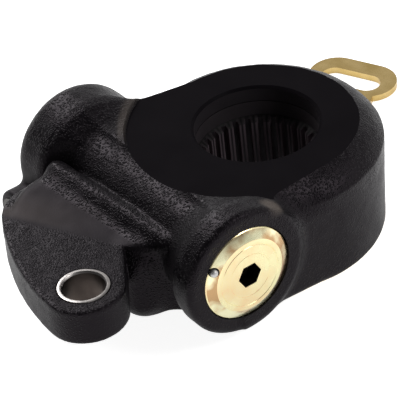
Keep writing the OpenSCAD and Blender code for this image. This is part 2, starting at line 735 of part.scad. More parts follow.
module control_arm() {
    root_half = control_ring_r * 0.55;
    tip_half = slot_l * 0.42;
    color(zinc_yellow) translate([0, 0, control_low]) linear_extrude(control_t) difference() {
        union() {
            circle(r = control_ring_r);
            rotate(slot_bearing) polygon([
                [hub_r, -root_half], [slot_reach, -tip_half], [slot_reach, tip_half], [hub_r, root_half]
            ]);
            on_slot() slot_outline(slot_l + 2 * slot_bar, slot_w + 2 * slot_bar);
        }
        circle(r = hub_bore_r);
        on_slot() translate([0, -slot_shift]) slot_outline(slot_l, slot_w);
        rivet_places() circle(r = rivet_r);
    }
}
module arm_rivets() {
    color(plain_steel) rivet_places() translate([0, 0, control_low])
        cylinder(r = rivet_r, h = disc_top - control_low);
}
module cover_outline(gap) {
    circle(r = cover_r + gap);
    translate([-pad_x - gap, -pad_half - gap]) square([pad_x - recess_r + 4, 2 * (pad_half + gap)]);
}
module control_cover() {
    groove = seal_groove_w;
    bore = hub_r + side_gap;
    color(zinc_yellow) difference() {
        translate([0, 0, cover_low]) linear_extrude(cover_t) difference() {
            cover_outline(0);
            circle(r = bore);
            screw_places() circle(r = cover_screw_r);
        }
        translate([0, 0, (cover_low + cover_top - groove) / 2])
            cylinder(r = bore + groove / 2, h = groove);
        screw_places() translate([0, 0, cover_low]) screw_head(eps);
    }
}
module control_seal() {
    color(seal_black) translate([0, 0, (cover_low + cover_top) / 2])
        o_ring(hub_r + run_gap + seal_r * 0.72, seal_r * 0.72);
}
module cover_gasket() {
    color(seal_black) translate([0, 0, cover_top]) linear_extrude(gasket_t) difference() {
        cover_outline(0);
        circle(r = recess_r);
        translate([-pad_x + 2.5, -pad_half + 2.5]) square([pad_x - recess_r + 6, 2 * pad_half - 5]);
        screw_places() circle(r = cover_screw_r);
    }
}
module screw_head(grow) {
    translate([0, 0, -grow])
        cylinder(r1 = screw_head_r + grow, r2 = cover_screw_r, h = screw_head_r - cover_screw_r + grow);
}
module cover_screws() {
    color(plain_steel) screw_places() translate([0, 0, cover_low]) difference() {
        union() {
            screw_head(0);
            cylinder(r = cover_screw_r, h = screw_l);
        }
        translate([0, 0, -eps]) linear_extrude(1.2) hexagon(cover_screw_r * 1.4);
    }
}

// Grease nipple in the back wall
module on_nipple(r) {
    rotate(nipple_bearing) translate([r, 0, nipple_z]) rotate([0, 90, 0]) children();
}
module grease_nipple() {
    color(zinc_yellow) {
        on_nipple(nipple_seat - nipple_l) cylinder(r = nipple_r, h = nipple_l);
        on_nipple(nipple_seat) linear_extrude(nipple_hex_t) hexagon(nipple_af);
        on_nipple(nipple_seat + nipple_hex_t) rotate_extrude()
            polygon([[0, 0], [2.4, 0], [1.6, 1.4], [2.1, 2.6], [1.2, 3.8], [0, 3.8]]);
    }
}

body();
clevis_bush();
cover_cap();
cap_lock_ball();
cap_seal();
load_spring();
spring_seat();
thrust_balls();
worm_shaft();
clutch_ring();
clutch_spring();
clutch_gear();
shaft_seal();
rack();
rack_spring();
rack_plug();
worm_wheel();
wheel_seal();
camshaft_seal();
control_disc();
control_arm();
arm_rivets();
control_cover();
control_seal();
cover_gasket();
cover_screws();
grease_nipple();
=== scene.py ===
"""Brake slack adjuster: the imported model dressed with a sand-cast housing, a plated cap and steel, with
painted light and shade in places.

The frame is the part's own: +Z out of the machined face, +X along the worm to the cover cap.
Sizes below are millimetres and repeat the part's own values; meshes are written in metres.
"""
import json
import math

import bmesh
import bpy
import numpy as np
from mathutils import Matrix, Vector
from mathutils.noise import noise as lump


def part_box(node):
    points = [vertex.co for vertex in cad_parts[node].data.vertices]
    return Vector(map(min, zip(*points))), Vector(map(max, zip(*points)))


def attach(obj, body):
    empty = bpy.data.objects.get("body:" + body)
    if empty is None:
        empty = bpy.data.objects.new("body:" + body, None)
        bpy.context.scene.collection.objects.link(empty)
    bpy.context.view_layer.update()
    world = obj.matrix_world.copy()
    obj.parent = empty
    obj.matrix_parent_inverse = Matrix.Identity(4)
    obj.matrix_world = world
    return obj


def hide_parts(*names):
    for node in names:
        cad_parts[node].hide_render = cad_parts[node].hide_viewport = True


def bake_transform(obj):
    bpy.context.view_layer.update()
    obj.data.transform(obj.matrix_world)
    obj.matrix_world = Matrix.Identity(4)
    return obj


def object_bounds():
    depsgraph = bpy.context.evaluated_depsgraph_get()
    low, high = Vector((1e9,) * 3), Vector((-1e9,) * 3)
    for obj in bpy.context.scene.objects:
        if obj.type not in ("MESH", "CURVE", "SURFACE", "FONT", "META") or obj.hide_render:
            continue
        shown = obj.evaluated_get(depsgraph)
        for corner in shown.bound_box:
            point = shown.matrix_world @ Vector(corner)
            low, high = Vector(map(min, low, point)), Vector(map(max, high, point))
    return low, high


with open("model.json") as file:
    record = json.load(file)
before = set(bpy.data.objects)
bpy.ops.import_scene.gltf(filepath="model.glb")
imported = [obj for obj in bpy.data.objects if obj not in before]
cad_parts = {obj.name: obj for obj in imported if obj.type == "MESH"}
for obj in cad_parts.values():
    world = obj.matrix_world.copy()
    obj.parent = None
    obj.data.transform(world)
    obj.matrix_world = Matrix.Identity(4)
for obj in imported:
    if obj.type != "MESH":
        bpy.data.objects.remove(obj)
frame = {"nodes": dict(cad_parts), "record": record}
cad_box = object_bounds()
nodes = frame["nodes"]

MM = 0.001

# Eye and machined face
BORE_R = 24.0
FACE_Z = 18.5
FACE_R = 39.0
EYE_R = 48.0
SHOULDER_Z = 10.5
EYE_LOW = -28.0
CUTTER_R = 49.5
RAW_TOP = FACE_Z + 1.0
FLANK_DRAFT = 1.2
# How far the eye's sides spread by the time they reach the worm, as (wall, face's edge)
LEFT_SPREAD = (1.8, 9.0)
RIGHT_SPREAD = (0.4, 3.0)
# Worm housing; the pocket is a bar cut out of it, as (from, to, radius)
WORM_Y = -45.0
CAP_END = 50.5
CAP_R = 18.9
CAP_BACK = 41.5
CLUTCH_END = -65.5
CLUTCH_POCKET = ((-36.5, -66.0, 16.2), (-36.5, -71.0, 4.0), 7.6)
# Arm and lug; the lobe at the arm's root is a bar too
BUSH = (23.2, -97.6)
BUSH_R = 9.8
LUG_R = 15.6
LUG_TOP = 6.8
LUG_LOW = -7.6
ROOT_LOW = -25.0
KNOB = (-38.0, -66.6, 9.5)
RIB_TIP = (25.5, -60.6, 7.8)
RIB_R = 3.8
ROOT_LOBE = ((15.0, -68.3, -2.0), (15.6, -69.2, -19.0), 6.0)
# Worm wheel's spline
SPLINE_TEETH = 28
SPLINE_TOP = 5.5
# Rack, with its boss, web and pad on the casting
RACK_X = -54.4
RACK_Z = -14.25
RACK_BOSS_R = 10.0
RACK_BOSS_ENDS = (-79.5, 19.8)
RACK_WEB_ENDS = (-67.5, 16.8)
RACK_WEB_INNER = -32.0
RACK_PAD_OUTER = -60.9
RACK_PAD_HALF = 16.85
RACK_TRAVEL = 7.86
# Cuts from underneath, as (radius, top): wheel chamber, control disc's recess, cover seat
UNDER = -32.0
UNDER_CUTS = ((35.0, 12.0), (39.5, -19.0), (44.15, -24.2))
TAB_SLOT = ((-58.55, -14.5, UNDER), (-30.0, 14.5, -24.2))
# Bores along the worm and the rack, as (radius, start, length)
WORM_BORES = (
    (15.8, -35.1, 90.0),  # worm
    (CAP_R + 0.15, CAP_BACK, 12.0),  # cap seat
    (12.35, -58.9, 24.3),  # clutch chamber
    (7.13, -70.0, 40.0),  # shaft hole
)
RACK_BORES = (
    (6.1, -74.6, 90.0),  # rack
    (7.4, -80.5, 6.0),  # plug seat
)
# Grease nipple's spot face
NIPPLE_BEARING = 115
NIPPLE_PLACE = (46.8, 0.0, -8.0)
SPOT_FACE_R = 4.34
# Lock ball in the cap's rim
BALL_REACH = 16.75
BALL_BEARING = 151
BALL_RISE = 0.45
BALL_SEAT_R = 1.95
# Grid that the casting is sampled on, and the sand's waves as (height, length)
GRID_LOW, GRID_HIGH, GRID_STEP = (-68.5, -118.5, -30.5), (54.5, 53, 29), 0.75
SAND_WAVES = ((0.16, 7.0), (0.07, 2.6))


# ---- Forms of the raw casting, as signed distances in millimetres ----

def outline_distance(u, v, outline):
    """Distance to a closed outline, negative inside."""
    best = np.full(u.shape, 1e9, np.float32)
    inside = np.zeros(u.shape, bool)
    for (ax, ay), (bx, by) in zip(outline, outline[-1:] + outline[:-1]):
        ex, ey = bx - ax, by - ay
        wx, wy = u - ax, v - ay
        t = np.clip((wx * ex + wy * ey) / max(ex * ex + ey * ey, 1e-9), 0, 1)
        best = np.minimum(best, (wx - ex * t) ** 2 + (wy - ey * t) ** 2)
        above, below, left = v >= ay, v < by, ex * wy > ey * wx
        inside ^= (above & below & left) | ~(above | below | left)
    return np.where(inside, -1, 1) * np.sqrt(best)


def soft_union(a, b, fillet):
    h = np.clip(1 - np.abs(a - b) / fillet, 0, None)
    return np.minimum(a, b) - h * h * fillet / 4


def soft_common(a, b, rounding):
    return -soft_union(-a, -b, rounding)


def soft_cut(a, b, rounding):
    return -soft_union(-a, b, rounding)


def arc(cx, cy, r, start, end, count):
    angles = np.radians(np.linspace(start, end, count + 1))
    return [(cx + r * math.cos(a), cy + r * math.sin(a)) for a in angles]


def bow(p, q, rise, count):
    """Points along a shallow bow from p to q, bulging to the right of the way."""
    dx, dy = q[0] - p[0], q[1] - p[1]
    length = math.hypot(dx, dy)
    side = (dy / length, -dx / length)
    steps = np.linspace(0, 1, count + 1)
    lifts = 4 * rise * steps * (1 - steps)
    return [
        (p[0] + t * dx + h * side[0], p[1] + t * dy + h * side[1])
        for t, h in zip(steps, lifts)
    ]


def plane_through(p, q, r):
    """Normal and offset of the plane through three points, counter-clockwise from outside."""
    normal = np.cross(np.subtract(q, p), np.subtract(r, p))
    normal = normal / np.linalg.norm(normal)
    return (*normal, normal @ np.asarray(p))


def beyond(plane, x, y, z):
    return plane[0] * x + plane[1] * y + plane[2] * z - plane[3]


def bar(x, y, z, p, q, r):
    """A round bar with ball ends from p to q."""
    way = np.subtract(q, p)
    dx, dy, dz = x - p[0], y - p[1], z - p[2]
    t = np.clip((dx * way[0] + dy * way[1] + dz * way[2]) / (way @ way), 0, 1)
    return np.sqrt((dx - t * way[0]) ** 2 + (dy - t * way[1]) ** 2 + (dz - t * way[2]) ** 2) - r


# Profiles run past the axis to CORE, so that the axis lies inside them
CORE = -20.0
EYE_PROFILE = (
    [(CORE, EYE_LOW)] + arc(44.8, EYE_LOW + 2, 2, -90, 0, 4)
    + bow((EYE_R, SHOULDER_Z), (FACE_R, FACE_Z), 0.9, 6)
    + [(FACE_R - 1.6, RAW_TOP), (CORE, RAW_TOP)]
)
HOUSING_PROFILE = (
    [(CORE, CLUTCH_END)] + arc(17.9, CLUTCH_END + 8, 8, -90, 0, 8)
    + [(25.9, -48), (25.2, -44.4), (22.4, -40.4), (19.8, -37), (19, -33)]
    + [(19, 25), (19.7, 28.5), (22.2, 34), (25, 39), (25.8, 42.5)]
    + arc(23.3, CAP_END - 2.5, 2.5, 0, 90, 4) + [(CORE, CAP_END)]
)
LUG_ARC = arc(*BUSH, LUG_R, 267, 416, 24)
LEFT_TANGENT, RIGHT_TANGENT = LUG_ARC[0], LUG_ARC[-1]
SHOULDER_CORNER = (-30.5, -98.2)
FLANK_CORNER = (-42.0, -82.6)
INNER_CORNER = (RIGHT_TANGENT[0] - 17, RIGHT_TANGENT[1] + 11)
ROOT_FRONT = (INNER_CORNER[0] + 8, -63.0)
LUG_PLAN = (
    bow(SHOULDER_CORNER, LEFT_TANGENT, 3.2, 8) + LUG_ARC
    + [INNER_CORNER, ROOT_FRONT, (ROOT_FRONT[0], WORM_Y), (-42, WORM_Y)]
    + bow(FLANK_CORNER, SHOULDER_CORNER, 2.6, 5)[:-1]
)
SLOPE_FOOT = ((-29.9, -95.7), (14.7, -72.8))
SLOPE = plane_through((*SLOPE_FOOT[0], LUG_TOP), (*SLOPE_FOOT[1], LUG_TOP), (-38, -66.5, 12.6))
CREASE = plane_through((*SLOPE_FOOT[0], 0), (*SLOPE_FOOT[1], 0), (*SLOPE_FOOT[1], 10))
SIDE_FLANK = plane_through((-41.6, -66, 0), (-42.4, -83, 0), (-42.4, -83, 10))
CORNER_FLANK = plane_through((*FLANK_CORNER, 0), (*SHOULDER_CORNER, 0), (*SHOULDER_CORNER, 10))
FRONT_EDGE = plane_through((*SHOULDER_CORNER, 0), (*LEFT_TANGENT, 0), (*LEFT_TANGENT, 10))
ROOT_WALL = plane_through((14.9, -73.3, 7), (13.4, -71.8, ROOT_LOW), (27.5, -60.5, 8))
UNDERSIDE = plane_through((-37, -70, ROOT_LOW), (18, -71.5, ROOT_LOW), (-30, -97, LUG_LOW + 1))
RIB_BACK = plane_through(KNOB, RIB_TIP, (RIB_TIP[0], RIB_TIP[1] + 8, RIB_TIP[2] - 10))


def wall_and_shoulder(u, z, wall, face):
    """Side of the eye: an upright wall, and a shoulder that leans in to the machined face."""
    rise, run = FACE_Z - SHOULDER_Z, wall - face
    shoulder = ((u - wall) * rise + (z - SHOULDER_Z) * run) / np.hypot(rise, run)
    return soft_common(u - wall, shoulder, 5)


def eye_flanks(x, y, z):
    """The eye's sides where they run on to the worm housing, spreading on the way."""
    t = np.clip(y / WORM_Y, 0, 1)
    wall = EYE_R - FLANK_DRAFT * (SHOULDER_Z - z) / (SHOULDER_Z - EYE_LOW)
    left = wall_and_shoulder(-x, z, wall + LEFT_SPREAD[0] * t, FACE_R + LEFT_SPREAD[1] * t)
    right = wall_and_shoulder(x, z, wall + RIGHT_SPREAD[0] * t, FACE_R + RIGHT_SPREAD[1] * t)
    walls = np.maximum(left, right)
    ends = np.maximum(y, WORM_Y - y)
    low = EYE_LOW + (ROOT_LOW - EYE_LOW) * t
    return np.maximum(np.maximum(soft_common(walls, low - z, 3), z - RAW_TOP), ends)


def arm_form(x, y, z):
    """Sloped arm between housing and lug, with the rib along its top and the lobe at its root."""
    d = soft_common(beyond(SLOPE, x, y, z), beyond(SIDE_FLANK, x, y, z), 9)
    d = soft_common(d, beyond(CORNER_FLANK, x, y, z), 5)
    d = soft_common(d, beyond(FRONT_EDGE, x, y, z), 2)
    d = soft_common(d, beyond(UNDERSIDE, x, y, z), 6)
    d = soft_common(d, ROOT_LOW - z, 6)
    d = soft_common(d, beyond(RIB_BACK, x, y, z), 1)
    d = np.maximum(soft_common(d, beyond(ROOT_WALL, x, y, z), 1.6), y - WORM_Y)
    d = soft_union(d, bar(x, y, z, KNOB, RIB_TIP, RIB_R), 4)
    return soft_union(d, bar(x, y, z, *ROOT_LOBE), 8)


def lug_form(x, y, z):
    """Flat lug, with a little draft."""
    draft = 0.02 * (z - LUG_LOW)
    plan = outline_distance(x, y, LUG_PLAN) + draft
    return soft_common(soft_common(plan, z - LUG_TOP, 1.2), LUG_LOW - z, 1.2)


def rack_boss(x, y, z):
    """Boss along the rack, with the web and the pad that join it to the eye."""
    tube = np.hypot(x - RACK_X, z - RACK_Z) - RACK_BOSS_R
    boss = soft_common(soft_common(tube, RACK_BOSS_ENDS[0] - y, 2), y - RACK_BOSS_ENDS[1], 5)
    inner = x - RACK_WEB_INNER
    depth = np.abs(z - RACK_Z) - RACK_BOSS_R
    web = np.maximum.reduce([RACK_X - x, inner, RACK_WEB_ENDS[0] - y, y - RACK_WEB_ENDS[1], depth])
    pad = np.maximum.reduce(
        [RACK_PAD_OUTER - x, inner, np.abs(y) - RACK_PAD_HALF, EYE_LOW - z, z - RACK_Z]
    )
    return soft_union(boss, soft_union(web, pad, 2), 3)


def casting(x, y, z):
    """The whole raw casting, flat underneath."""
    eye = np.minimum(outline_distance(np.hypot(x, y), z, EYE_PROFILE), eye_flanks(x, y, z))
    housing = outline_distance(np.hypot(y - WORM_Y, z), x, HOUSING_PROFILE)
    d = soft_cut(soft_union(eye, housing, 6), bar(x, y, z, *CLUTCH_POCKET), 2.5)
    d = soft_union(d, arm_form(x, y, z), 1.6)
    d = soft_union(d, lug_form(x, y, z), 0.8)
    return np.maximum(soft_union(d, rack_boss(x, y, z), 4), EYE_LOW - z)


# ---- Meshing of the casting ----

def sampled_field(field, low, high, step, coarse=4):
    """The field on a grid: fine only near its surface, the sign elsewhere."""
    counts = [int(math.ceil((h - l) / (step * coarse))) for l, h in zip(low, high)]
    axes = [l + np.arange(n + 1) * step * coarse for l, n in zip(low, counts)]
    rough = field(*[g.astype(np.float32) for g in np.meshgrid(*axes, indexing="ij")])
    values = np.repeat(np.repeat(np.repeat(rough, coarse, 0), coarse, 1), coarse, 2)
    near = np.abs(rough) < 2.2 * step * coarse
    offsets = np.stack(np.meshgrid(*[np.arange(coarse)] * 3, indexing="ij"), -1).reshape(-1, 3)
    places = (np.argwhere(near)[:, None, :] * coarse + offsets[None]).reshape(-1, 3)
    points = np.asarray(low) + places * step
    values[tuple(places.T)] = field(*points.T.astype(np.float32))
    return values


def surface_net(values, low, step):
    """Vertices and quads of the zero surface, one vertex for each crossed cell."""
    solid = values < 0
    corners = [np.array(c) for c in np.ndindex(2, 2, 2)]
    size = np.array(values.shape) - 1

    def shifted(a, c):
        return a[c[0]:c[0] + size[0], c[1]:c[1] + size[1], c[2]:c[2] + size[2]]

    filled = sum(shifted(solid, c).astype(np.int8) for c in corners)
    cells = np.argwhere((filled > 0) & (filled < 8))
    index = np.full(tuple(size), -1, np.int64)
    index[tuple(cells.T)] = np.arange(len(cells))
    total = np.zeros((len(cells), 3))
    weight = np.zeros(len(cells))
    for a in corners:
        for axis in range(3):
            if a[axis]:
                continue
            b = a.copy()
            b[axis] = 1
            va, vb = values[tuple((cells + a).T)], values[tuple((cells + b).T)]
            crossed = (va < 0) != (vb < 0)
            t = np.where(crossed, va / np.where(crossed, va - vb, 1), 0)
            point = a + t[:, None] * (b - a)
            total += np.where(crossed[:, None], point, 0)
            weight += crossed
    vertices = np.asarray(low) + (cells + total / weight[:, None]) * step
    quads = []
    for axis in range(3):
        u, v = (axis + 1) % 3, (axis + 2) % 3
        near = [slice(1, -1)] * 3
        far = [slice(1, -1)] * 3
        near[axis], far[axis] = slice(0, -1), slice(1, None)
        for inward in (False, True):
            first, second = solid[tuple(near)], solid[tuple(far)]
            edges = np.argwhere(~first & second if inward else first & ~second)
            edges[:, u] += 1
            edges[:, v] += 1
            loop = []
            for du, dv in ((0, 0), (-1, 0), (-1, -1), (0, -1)):
                cell = edges.copy()
                cell[:, u] += du
                cell[:, v] += dv
                loop.append(index[tuple(cell.T)])
            quads.append(np.stack(loop[::-1] if inward else loop, 1))
    return vertices, np.concatenate(quads)


def settle(field, points, rounds=3):
    """Moves points onto the zero surface along the field's slope."""
    h = 0.05
    for _ in range(rounds):
        d = field(*points.T)
        rises = [field(*(points + h * e).T) - field(*(points - h * e).T) for e in np.eye(3)]
        slope = np.stack(rises, 1) / (2 * h)
        steep = np.maximum((slope ** 2).sum(1), 0.2)
        points = points - np.clip(d / steep, -1, 1)[:, None] * slope
    return points


def soften(vertices, quads, rounds):
    """Rounds edges as sand and paint do, keeping the volume."""
    ends = np.concatenate([quads[:, [i, (i + 1) % 4]] for i in range(4)])
    a, b = ends.T
    degree = np.bincount(a, minlength=len(vertices))[:, None]
    for step in (0.5, -0.52) * rounds:
        sums = [np.bincount(a, vertices[b, k], len(vertices)) for k in range(3)]
        vertices = vertices + step * (np.stack(sums, 1) / degree - vertices)
    return vertices


def step_up(value, low, high):
    t = np.clip((value - low) / (high - low), 0, 1)
    return t * t * (3 - 2 * t)


def near_slope(x, y, z):
    """1 on the arm's sloped face, 0 away from it."""
    return 1 - step_up(np.abs(beyond(SLOPE, x, y, z)), 0.7, 1.6)


def grain_of(points):
    """How coarse the cast skin is: 1 on the plain sand skin, low where the pattern was smooth."""
    x, y, z = points.T
    on_lug = step_up(beyond(CREASE, x, y, z), -0.5, 2.5)
    below_rib = step_up(beyond(RIB_BACK, x, y, z), -8, -5.5)
    slope = near_slope(x, y, z) * (1 - below_rib) * (1 - on_lug)
    lug = 0.2 * on_lug * step_up(-y, 70, 76)
    clutch_front = step_up(-x, 36, 42) * step_up(-y, 60, 63) * step_up(-z, -15, -12)
    walls = 0.3 * step_up(-z, -6, -3) + 0.3 * step_up(x, 30, 40)
    return np.clip(1 - 0.95 * slope - lug - 0.6 * clutch_front - walls, 0.05, 1)


def painted_light_of(points):
    """Painted light: lighter patches where the casting looks lit, at the wall of the face cut, behind the
    cap's boss, along the slope's foot.
    """
    x, y, z = points.T
    r = np.hypot(x, y)
    wall = step_up(r, CUTTER_R - 0.1, CUTTER_R + 0.1) * (1 - step_up(r, CUTTER_R + 2.2, CUTTER_R + 4.2))
    wall *= step_up(z, FACE_Z + 0.1, FACE_Z + 0.3) * step_up(-x, 20, 30)
    from_corner = np.sqrt(((x - 46.5) / 4.5) ** 2 + ((y + 29) / 7) ** 2 + ((z - 19.5) / 5) ** 2)
    behind_boss = 1 - step_up(from_corner, 0.5, 1.1)
    above = -beyond(CREASE, x, y, z)
    foot = near_slope(x, y, z) * step_up(above, -0.5, 2.5) * (1 - step_up(above, 4, 18))
    foot *= step_up(-x, -5, 38)
    return np.maximum.reduce([0.46 * wall, behind_boss, 0.34 * foot])


def sand_relief(vertices, normals):
    """Lifts and sinks the skin a little, as a sand mould leaves it."""
    grain = grain_of(vertices)
    lift = [sum(h * lump(v / l) for h, l in SAND_WAVES) for v in map(Vector, vertices.tolist())]
    return vertices + normals * (grain * np.array(lift))[:, None]


def new_piece(name, vertices, faces, scale=MM):
    """A mesh object in the scene, from points in millimetres unless scale says otherwise."""
    mesh = bpy.data.meshes.new(name)
    corners = [list(map(int, f)) for f in faces]
    mesh.from_pydata((np.asarray(vertices) * scale).tolist(), [], corners)
    mesh.update()
    piece = bpy.data.objects.new(name, mesh)
    bpy.context.scene.collection.objects.link(piece)
    return piece


def drum(r, h, r2=None, sides=160):
    """A closed cylinder or cone along +Z from the origin."""
    bm = bmesh.new()
    bmesh.ops.create_cone(
        bm, cap_ends=True, segments=sides, radius1=r, radius2=r if r2 is None else r2, depth=h
    )
    bmesh.ops.translate(bm, verts=bm.verts, vec=(0, 0, h / 2))
    return bm


def block(low, high):
    bm = bmesh.new()
    bmesh.ops.create_cube(bm, size=1)
    for v in bm.verts:
        v.co = [(l + h) / 2 + c * (h - l) for c, l, h in zip(v.co, low, high)]
    return bm


ALONG_X = Matrix.Rotation(math.pi / 2, 4, "Y")
ON_WORM = Matrix.Translation((0, WORM_Y, 0)) @ ALONG_X
ON_RACK = Matrix.Translation((RACK_X, 0, RACK_Z)) @ Matrix.Rotation(-math.pi / 2, 4, "X")


def at(x, y, z):
    return Matrix.Translation((x, y, z))


def cut(piece, tool, place, slot):
    """Takes a machined form out of a piece; the new faces get that material slot."""
    tool.transform(place)
    tool.transform(Matrix.Scale(MM, 4))
    mesh = bpy.data.meshes.new("cutter")
    tool.to_mesh(mesh)
    tool.free()
    for m in piece.data.materials:
        mesh.materials.append(m)
    mesh.polygons.foreach_set("material_index", [slot] * len(mesh.polygons))
    cutter = bpy.data.objects.new("cutter", mesh)
    bpy.context.scene.collection.objects.link(cutter)
    boolean = piece.modifiers.new("cut", "BOOLEAN")
    boolean.operation = "DIFFERENCE"
    boolean.solver = "MANIFOLD"
    boolean.object = cutter
    graph = bpy.context.evaluated_depsgraph_get()
    done = bpy.data.meshes.new_from_object(piece.evaluated_get(graph))
    piece.modifiers.clear()
    old = piece.data
    piece.data = done
    bpy.data.meshes.remove(old)
    bpy.data.objects.remove(cutter)
    bpy.data.meshes.remove(mesh)


# Material slots of the housing and of the cap
SKIN, MACHINED, BORED = 0, 1, 2
# Cap slots: plating, painted shade in its recesses, painted reflections on its bevel
PLATED, RECESS_SHADE, REFLECTION_BAND = 0, 1, 2


def cast_body(materials):
    """The housing: the casting's skin with its sand relief, and every machined form cut into it."""
    field = sampled_field(casting, GRID_LOW, GRID_HIGH, GRID_STEP)
    vertices, quads = surface_net(field, GRID_LOW, GRID_STEP)
    vertices = soften(settle(casting, vertices), quads, 3)
    rough = new_piece("rough", vertices, quads, 1.0)
    normals = np.array([v.normal for v in rough.data.vertices])
    bpy.data.objects.remove(rough)
    piece = new_piece("cast_body", sand_relief(vertices, normals), quads)
    for m in materials:
        piece.data.materials.append(m)
    # Machined face, camshaft hole and its chamfer
    cut(piece, drum(CUTTER_R, 10, CUTTER_R + 5, 256), at(0, 0, FACE_Z), MACHINED)
    cut(piece, drum(BORE_R, 60, sides=192), at(0, 0, UNDER), BORED)
    cut(piece, drum(BORE_R, 1.01, BORE_R + 1.01, 192), at(0, 0, FACE_Z - 1), MACHINED)
    for r, top in UNDER_CUTS:
        cut(piece, drum(r, top - UNDER), at(0, 0, UNDER), BORED)
    cut(piece, block(*TAB_SLOT), at(0, 0, 0), BORED)
    for r, start, length in WORM_BORES:
        cut(piece, drum(r, length), ON_WORM @ at(0, 0, start), BORED)
    for r, start, length in RACK_BORES:
        cut(piece, drum(r, length), ON_RACK @ at(0, 0, start), BORED)
    # Clevis bush seat with its chamfer, grease nipple's spot face
    cut(piece, drum(BUSH_R, 20), at(*BUSH, -10), BORED)
    cut(piece, drum(BUSH_R, 0.9, BUSH_R + 0.7, 96), at(*BUSH, LUG_TOP - 0.55), BORED)
    bearing = Matrix.Rotation(math.radians(NIPPLE_BEARING), 4, "Z")
    cut(piece, drum(SPOT_FACE_R, 6, sides=48), bearing @ at(*NIPPLE_PLACE) @ ALONG_X, BORED)
    # Sharp edges come first, because that call clears the flat faces
    piece.data.set_sharp_from_angle(angle=math.radians(32))
    for polygon in piece.data.polygons:
        polygon.use_smooth = abs(polygon.normal.z) < 0.9999
        if polygon.material_index == MACHINED and polygon.center.z > FACE_Z * MM + 0.0001:
            polygon.material_index = SKIN
    places = np.array([v.co for v in piece.data.vertices]) / MM
    # The second attribute marks the painted light, lighter patches where the casting looks lit.
    for name, values in (("grain", grain_of(places)), ("painted_light", painted_light_of(places))):
        piece.data.attributes.new(name, "FLOAT", "POINT").data.foreach_set("value", values)
    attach(piece, "housing")
    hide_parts("body")


# ---- Turned pieces ----

def ring(r, h, corners=0, turn=0.0, count=144):
    """Points round +Z at height h: a circle, or a polygon with r to its flats."""
    points = []
    for a in np.arange(count) * 2 * math.pi / count:
        reach = r
        if corners:
            sector = 2 * math.pi / corners
            reach = r / math.cos((a - turn) % sector - sector / 2)
        points.append((reach * math.cos(a), reach * math.sin(a), h))
    return points


def turned(name, rings, place, materials, slots, closed):
    """A skin over rings of points, one material slot a band; closed joins the last ring to the first."""
    count = len(rings[0])
    vertices = [place @ Vector(p) for r in rings for p in r]
    faces, indices = [], []
    bands = len(rings) if closed else len(rings) - 1
    for k in range(bands):
        low, high = k * count, (k + 1) % len(rings) * count
        for i in range(count):
            j = (i + 1) % count
            faces.append((low + i, low + j, high + j, high + i))
            indices.append(slots[k])
    if not closed:
        last = (len(rings) - 1) * count
        faces += [tuple(range(count))[::-1], tuple(range(last, last + count))]
        indices += [slots[0], slots[-1]]
    piece = new_piece(name, vertices, faces)
    for m in materials:
        piece.data.materials.append(m)
    piece.data.polygons.foreach_set("material_index", indices)
    return piece


def crisp(piece, angle):
    """Smooth shading that breaks at edges sharper than the angle."""
    for polygon in piece.data.polygons:
        polygon.use_smooth = True
    piece.data.set_sharp_from_angle(angle=math.radians(angle))


def plated_cap(plating, recess_shade, bevel):
    """Cover cap: bevelled rim, turned lines on its face, hexagon socket, seat of the lock ball."""
    face, rim, flat = CAP_END + 2.0, CAP_R, CAP_R - 4.6
    hexagon = dict(corners=6, turn=math.radians(30))
    rings = [
        ring(rim - 2.5, CAP_BACK), ring(rim - 2.5, CAP_BACK + 2.5),
        ring(rim, CAP_BACK + 2.5), ring(rim, CAP_END - 0.5),
        ring(rim - 0.25, CAP_END - 0.1), ring(rim - 0.6, CAP_END + 0.18),
        ring(flat + 0.5, face - 0.22), ring(flat + 0.15, face - 0.05), ring(flat - 0.2, face),
        ring(12.95, face), ring(12.8, face - 0.13), ring(12.65, face - 0.13), ring(12.5, face),
        ring(9.05, face), ring(8.95, face - 0.07), ring(8.85, face), ring(6.2, face),
        ring(4.65, face, **hexagon), ring(4.4, face - 0.12, **hexagon),
        ring(4.25, face - 0.5, **hexagon), ring(4.25, face - 6.2, **hexagon),
        ring(3.4, face - 6.4), ring(0.6, face - 7.0),
    ]
    # The bevel band carries painted reflections, and the socket's bands carry painted shade.
    slots = [PLATED] * 5 + [REFLECTION_BAND] + [PLATED] * 12 + [RECESS_SHADE] * 4
    cap = turned("plated_cap", rings, ON_WORM, [plating, recess_shade, bevel], slots, False)
    angle = math.radians(BALL_BEARING)
    across, rise = BALL_REACH * math.cos(angle), BALL_RISE + BALL_REACH * math.sin(angle)
    seat = at(CAP_END - 1.2, WORM_Y + across, rise) @ ALONG_X
    # The lock ball's seat gets the painted shade too.
    cut(cap, drum(BALL_SEAT_R, 8, sides=40), seat, RECESS_SHADE)
    crisp(cap, 25)
    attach(cap, "housing")
    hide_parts("cover_cap")


def steel_bush(rim, inside):
    """Bush of the clevis pin: bright chamfered ends, and a bore darkened by an oily film and by painted
    shade.
    """
    low, high, bore = LUG_LOW - 0.3, LUG_TOP + 0.3, 8.0
    half = [
        (bore, 0.75), (bore + 0.35, 0.2), (bore + 0.55, 0.0),
        (BUSH_R - 0.45, 0.0), (BUSH_R - 0.12, 0.12), (BUSH_R, 0.45),
    ]
    rings = [ring(r, low + d) for r, d in half] + [ring(r, high - d) for r, d in half[::-1]]
    slots = [0] * (len(rings) - 1) + [1]
    bush = turned("steel_bush", rings, at(*BUSH, 0), [rim, inside], slots, True)
    crisp(bush, 25)
    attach(bush, "housing")
    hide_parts("clevis_bush")


